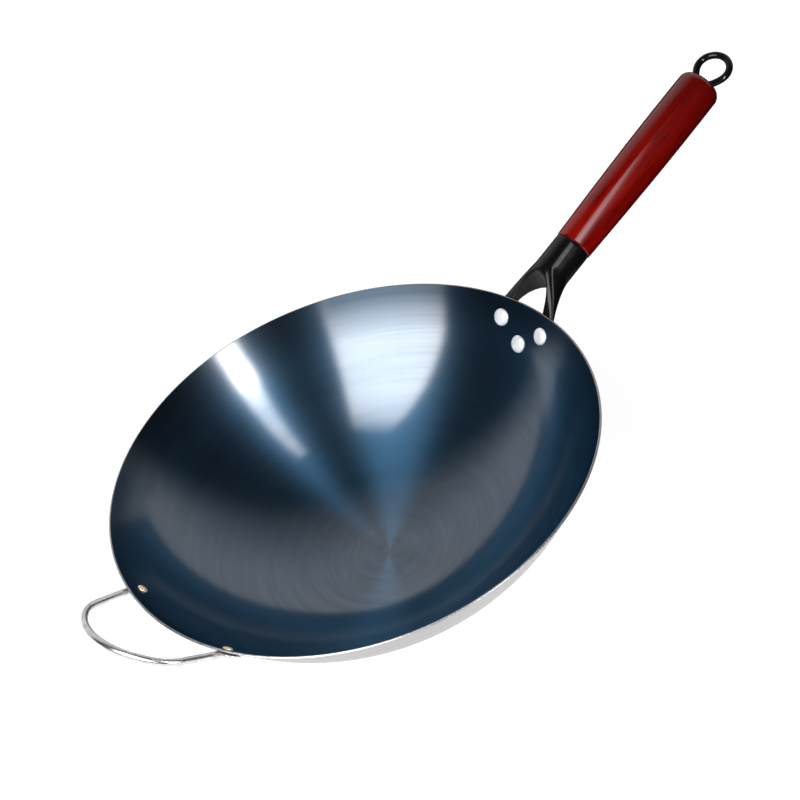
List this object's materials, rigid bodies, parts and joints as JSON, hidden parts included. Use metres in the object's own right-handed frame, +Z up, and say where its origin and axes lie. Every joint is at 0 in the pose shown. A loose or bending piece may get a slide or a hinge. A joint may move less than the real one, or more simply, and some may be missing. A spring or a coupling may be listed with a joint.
{
  "type": "round-bottom wok",
  "caption": "Round-bottom blued steel wok with a riveted forked bracket, a red wooden grip with a hanging eye and a bright wire helper loop.",
  "frame": {"origin": "centre of the small flat under the bowl", "axes": "+Z up out of the bowl, +X towards the long handle, +Y to its left"},
  "size_m": [0.6073, 0.34, 0.1587],
  "materials": {
    "blued_steel": "spun and blued inside, ground bright outside",
    "black_steel": "gloss black",
    "rivet_aluminium": "satin",
    "red_wood": "stained deep red and varnished",
    "black_wire": "gloss black",
    "plain_steel": "plain",
    "bright_wire": "bright",
    "rivet_brass": "bright"
  },
  "bodies": {
    "root": {"wok_bowl": "blued_steel", "handle_bracket": "black_steel", "handle_rivet_left": "rivet_aluminium", "handle_rivet_right": "rivet_aluminium", "handle_rivet_lower": "rivet_aluminium", "wooden_grip": "red_wood", "tie_rod_eye": "black_wire", "anchor_nut": "plain_steel", "helper_handle": "bright_wire", "helper_rivet_left": "rivet_brass", "helper_rivet_right": "rivet_brass"}
  },
  "joints": []
}
